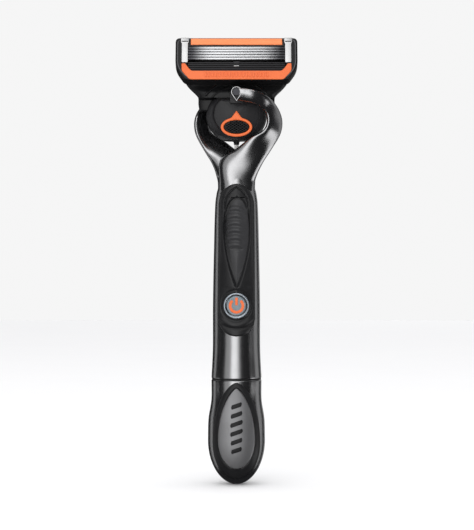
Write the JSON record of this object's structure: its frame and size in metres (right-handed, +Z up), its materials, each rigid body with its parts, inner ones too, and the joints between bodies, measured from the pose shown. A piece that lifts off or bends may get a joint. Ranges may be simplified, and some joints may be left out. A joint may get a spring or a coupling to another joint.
{
  "type": "cartridge razor",
  "caption": "Battery-powered cartridge razor: bulb-ended metal handle with rubber grip, power button, twisted fork, swinging head pod and a clip-on multi-blade cartridge.",
  "frame": {"origin": "on the handle's axis at the neck, just under the fork, where a stand holds the razor", "axes": "+Z up the handle to the head, -Y the way the blades face, +X to the right seen from the blades"},
  "size_m": [0.0412, 0.0234, 0.1531],
  "materials": {
    "dark_chrome": "polished smoked chrome",
    "pin_steel": "dark satin",
    "spring_steel": "bright",
    "zinc": "dull",
    "grip_rubber": "matte with fine grain",
    "seal_rubber": "matte",
    "bezel_silver": "fine ring",
    "frame_plastic": "moulded",
    "board_green": "lacquered",
    "switch_plastic": "moulded",
    "motor_steel": "plated",
    "lead_red": "insulated wire",
    "contact_brass": "sprung",
    "cell_steel": "bright",
    "cell_wrap": "printed sleeve, plain",
    "button_grey": "satin",
    "orange": "moulded",
    "shaft_steel": "ground",
    "weight_alloy": "sintered",
    "badge_satin": "satin",
    "pod_plastic": "fine texture",
    "black_plastic": "moulded",
    "plunger_white": "moulded",
    "lube": "waxy strip",
    "fin_rubber": "soft",
    "blade_steel": "ground edge",
    "clip_metal": "bright"
  },
  "bodies": {
    "handle": {"fork_frame": "dark_chrome", "front_pivot_pin": "pin_steel", "rear_pivot_pin": "pin_steel", "barrel_shell": "dark_chrome", "bayonet_ring": "zinc", "grip_front": "grip_rubber", "thumb_pad": "grip_rubber", "grip_rear": "grip_rubber", "button_bezel": "bezel_silver", "button_seal": "seal_rubber", "chassis": "frame_plastic", "circuit_board": "board_green", "tact_switch": "switch_plastic", "motor_can": "motor_steel", "motor_leads": "lead_red", "positive_contact": "contact_brass", "negative_strip": "contact_brass", "battery_can": "cell_steel", "battery_wrap": "cell_wrap", "tail_spring": "spring_steel"},
    "power_button": {"power_button": "button_grey", "power_symbol": "orange", "switch_stem": "switch_plastic"},
    "rotor": {"motor_shaft": "shaft_steel", "eccentric_weight": "weight_alloy"},
    "cap_seal": {"cap_seal_ring": "seal_rubber"},
    "cap": {"cap_shell": "dark_chrome", "cap_grip": "grip_rubber", "cap_badge": "badge_satin", "cap_spigot": "frame_plastic", "contact_spring": "contact_brass", "contact_disc": "contact_brass"},
    "pod": {"pod_front_cover": "pod_plastic", "pod_rear_cover": "pod_plastic", "docking_head": "black_plastic", "plunger_spring": "spring_steel"},
    "eject": {"eject_button": "pod_plastic", "eject_ring": "orange", "eject_slider": "black_plastic"},
    "plunger": {"plunger": "plunger_white"},
    "hub": {"hub_yoke": "black_plastic"},
    "cartridge": {"blade_housing": "black_plastic", "lube_strip": "lube", "guard_fins": "fin_rubber", "guard_comb": "orange", "clip_left": "clip_metal", "clip_right": "clip_metal", "trimmer_blade": "blade_steel", "trimmer_guard": "orange"},
    "blade_1": {"blade_1": "blade_steel"},
    "blade_2": {"blade_2": "blade_steel"},
    "blade_3": {"blade_3": "blade_steel"},
    "blade_4": {"blade_4": "blade_steel"},
    "blade_5": {"blade_5": "blade_steel"}
  },
  "joints": [
    {"name": "pod_swing", "type": "hinge", "parent": "handle", "child": "pod", "pos_m": [0, 0, 0.0318], "axis": [0, 1, 0], "range_deg": [-12, 12], "stiffness_Nm_per_rad": 0.06, "deforming": ["tail_spring"]},
    {"name": "eject_slide", "type": "slide", "parent": "pod", "child": "eject", "axis": [0, 0, 1], "range_m": [0, 0.0025], "stiffness_N_per_m": 400},
    {"name": "plunger_slide", "type": "slide", "parent": "pod", "child": "plunger", "axis": [0, 0, -1], "range_m": [0, 0.0035], "deforming": ["plunger_spring"]},
    {"name": "cartridge_release", "type": "slide", "parent": "pod", "child": "hub", "axis": [0, 0, 1], "range_m": [0, 0.01]},
    {"name": "cartridge_pivot", "type": "hinge", "parent": "hub", "child": "cartridge", "pos_m": [0, -0.00354, 0.03703], "axis": [-1, 0, 0], "range_deg": [0, 40], "stiffness_Nm_per_rad": 0.01, "springref_deg": -17.19},
    {"name": "power_button_press", "type": "slide", "parent": "handle", "child": "power_button", "axis": [0, 1, 0], "range_m": [0, 0.0006], "stiffness_N_per_m": 1500},
    {"name": "motor_spin", "type": "hinge", "parent": "handle", "child": "rotor", "pos_m": [0, 0.0018, -0.023], "axis": [0, 0, 1], "continuous": true},
    {"name": "cap_travel", "type": "slide", "parent": "handle", "child": "cap_seal", "axis": [0, 0, -1], "range_m": [0, 0.008]},
    {"name": "cap_turn", "type": "hinge", "parent": "cap_seal", "child": "cap", "pos_m": [0, 0, -0.0833], "axis": [0, 0, 1], "range_deg": [0, 90]},
    {"name": "blade_1_float", "type": "slide", "parent": "cartridge", "child": "blade_1", "axis": [0, 0.9397, -0.342], "range_m": [0, 0.0003], "stiffness_N_per_m": 100},
    {"name": "blade_2_float", "type": "slide", "parent": "cartridge", "child": "blade_2", "axis": [0, 0.9397, -0.342], "range_m": [0, 0.0003], "stiffness_N_per_m": 100},
    {"name": "blade_3_float", "type": "slide", "parent": "cartridge", "child": "blade_3", "axis": [0, 0.9397, -0.342], "range_m": [0, 0.0003], "stiffness_N_per_m": 100},
    {"name": "blade_4_float", "type": "slide", "parent": "cartridge", "child": "blade_4", "axis": [0, 0.9397, -0.342], "range_m": [0, 0.0003], "stiffness_N_per_m": 100},
    {"name": "blade_5_float", "type": "slide", "parent": "cartridge", "child": "blade_5", "axis": [0, 0.9397, -0.342], "range_m": [0, 0.0003], "stiffness_N_per_m": 100}
  ],
  "couplings": [
    {"joint": "cartridge_pivot", "follows": "plunger_slide", "rad_per_m": 199.4},
    {"joint": "cap_turn", "follows": "cap_travel", "rad_per_m": 196.35}
  ]
}
